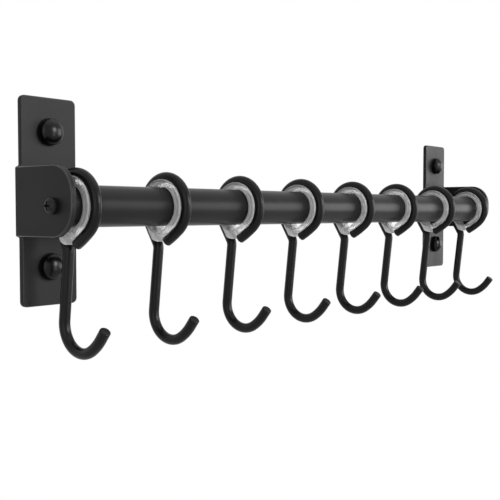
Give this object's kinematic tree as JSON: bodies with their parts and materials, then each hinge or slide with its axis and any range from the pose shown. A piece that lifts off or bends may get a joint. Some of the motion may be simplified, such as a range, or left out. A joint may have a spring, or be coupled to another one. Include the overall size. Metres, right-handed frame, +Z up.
{
  "type": "utensil rail",
  "caption": "Wall-mounted kitchen utensil rail: two steel brackets hold a round tube on which bent-rod hooks slide and swing in split plastic liners.",
  "frame": {"origin": "middle of the four wall screws, on the plane of the wall", "axes": "+X along the rail, to the right seen from the room; +Y into the wall, so the front faces -Y; +Z up"},
  "size_m": [0.4142, 0.0569, 0.1187],
  "materials": {
    "bracket_coat": "satin black powder coat on steel sheet, with a fine even texture",
    "tube_coat": "satin black powder coat on drawn steel tube",
    "hook_coat": "satin black powder coat on bent steel rod",
    "screw_cap": "semi-gloss black moulded plastic",
    "cap_base": "satin black moulded plastic",
    "liner_plastic": "milky translucent soft plastic, satin",
    "black_screw": "black oxide, semi-gloss",
    "zinc_screw": "bright zinc plate",
    "zinc_plug": "dull zinc plate"
  },
  "bodies": {
    "rail": {"bracket_left": "bracket_coat", "bracket_right": "bracket_coat", "rail_tube": "tube_coat", "end_plug_left": "zinc_plug", "end_plug_right": "zinc_plug", "end_screw_left": "black_screw", "end_screw_right": "black_screw", "wall_screw_1": "zinc_screw", "wall_screw_2": "zinc_screw", "wall_screw_3": "zinc_screw", "wall_screw_4": "zinc_screw", "cap_base_1": "cap_base", "cap_base_2": "cap_base", "cap_base_3": "cap_base", "cap_base_4": "cap_base", "screw_cap_1": "screw_cap", "screw_cap_2": "screw_cap", "screw_cap_3": "screw_cap", "screw_cap_4": "screw_cap"},
    "liner_1": {"liner_1": "liner_plastic"},
    "hook_1": {"hook_1": "hook_coat"},
    "liner_2": {"liner_2": "liner_plastic"},
    "hook_2": {"hook_2": "hook_coat"},
    "liner_3": {"liner_3": "liner_plastic"},
    "hook_3": {"hook_3": "hook_coat"},
    "liner_4": {"liner_4": "liner_plastic"},
    "hook_4": {"hook_4": "hook_coat"},
    "liner_5": {"liner_5": "liner_plastic"},
    "hook_5": {"hook_5": "hook_coat"},
    "liner_6": {"liner_6": "liner_plastic"},
    "hook_6": {"hook_6": "hook_coat"},
    "liner_7": {"liner_7": "liner_plastic"},
    "hook_7": {"hook_7": "hook_coat"},
    "liner_8": {"liner_8": "liner_plastic"},
    "hook_8": {"hook_8": "hook_coat"}
  },
  "joints": [
    {"name": "liner_1_slide", "type": "slide", "parent": "rail", "child": "liner_1", "axis": [1, 0, 0], "range_m": [-0.0044, 0.022]},
    {"name": "hook_1_swing", "type": "hinge", "parent": "liner_1", "child": "hook_1", "pos_m": [-0.1913, -0.0286, -0.0032], "axis": [1, 0, 0], "range_deg": [-180, 16]},
    {"name": "liner_2_slide", "type": "slide", "parent": "rail", "child": "liner_2", "axis": [1, 0, 0], "range_m": [-0.022, 0.022]},
    {"name": "hook_2_swing", "type": "hinge", "parent": "liner_2", "child": "hook_2", "pos_m": [-0.13664, -0.0286, -0.0032], "axis": [1, 0, 0], "range_deg": [-180, 18]},
    {"name": "liner_3_slide", "type": "slide", "parent": "rail", "child": "liner_3", "axis": [1, 0, 0], "range_m": [-0.022, 0.022]},
    {"name": "hook_3_swing", "type": "hinge", "parent": "liner_3", "child": "hook_3", "pos_m": [-0.08199, -0.0286, -0.0032], "axis": [1, 0, 0], "range_deg": [-180, 18]},
    {"name": "liner_4_slide", "type": "slide", "parent": "rail", "child": "liner_4", "axis": [1, 0, 0], "range_m": [-0.022, 0.022]},
    {"name": "hook_4_swing", "type": "hinge", "parent": "liner_4", "child": "hook_4", "pos_m": [-0.02733, -0.0286, -0.0032], "axis": [1, 0, 0], "range_deg": [-180, 18]},
    {"name": "liner_5_slide", "type": "slide", "parent": "rail", "child": "liner_5", "axis": [1, 0, 0], "range_m": [-0.022, 0.022]},
    {"name": "hook_5_swing", "type": "hinge", "parent": "liner_5", "child": "hook_5", "pos_m": [0.02733, -0.0286, -0.0032], "axis": [1, 0, 0], "range_deg": [-180, 18]},
    {"name": "liner_6_slide", "type": "slide", "parent": "rail", "child": "liner_6", "axis": [1, 0, 0], "range_m": [-0.022, 0.022]},
    {"name": "hook_6_swing", "type": "hinge", "parent": "liner_6", "child": "hook_6", "pos_m": [0.08199, -0.0286, -0.0032], "axis": [1, 0, 0], "range_deg": [-180, 18]},
    {"name": "liner_7_slide", "type": "slide", "parent": "rail", "child": "liner_7", "axis": [1, 0, 0], "range_m": [-0.022, 0.022]},
    {"name": "hook_7_swing", "type": "hinge", "parent": "liner_7", "child": "hook_7", "pos_m": [0.13664, -0.0286, -0.0032], "axis": [1, 0, 0], "range_deg": [-180, 18]},
    {"name": "liner_8_slide", "type": "slide", "parent": "rail", "child": "liner_8", "axis": [1, 0, 0], "range_m": [-0.022, 0.0044]},
    {"name": "hook_8_swing", "type": "hinge", "parent": "liner_8", "child": "hook_8", "pos_m": [0.1913, -0.0286, -0.0032], "axis": [1, 0, 0], "range_deg": [-180, 16]}
  ]
}
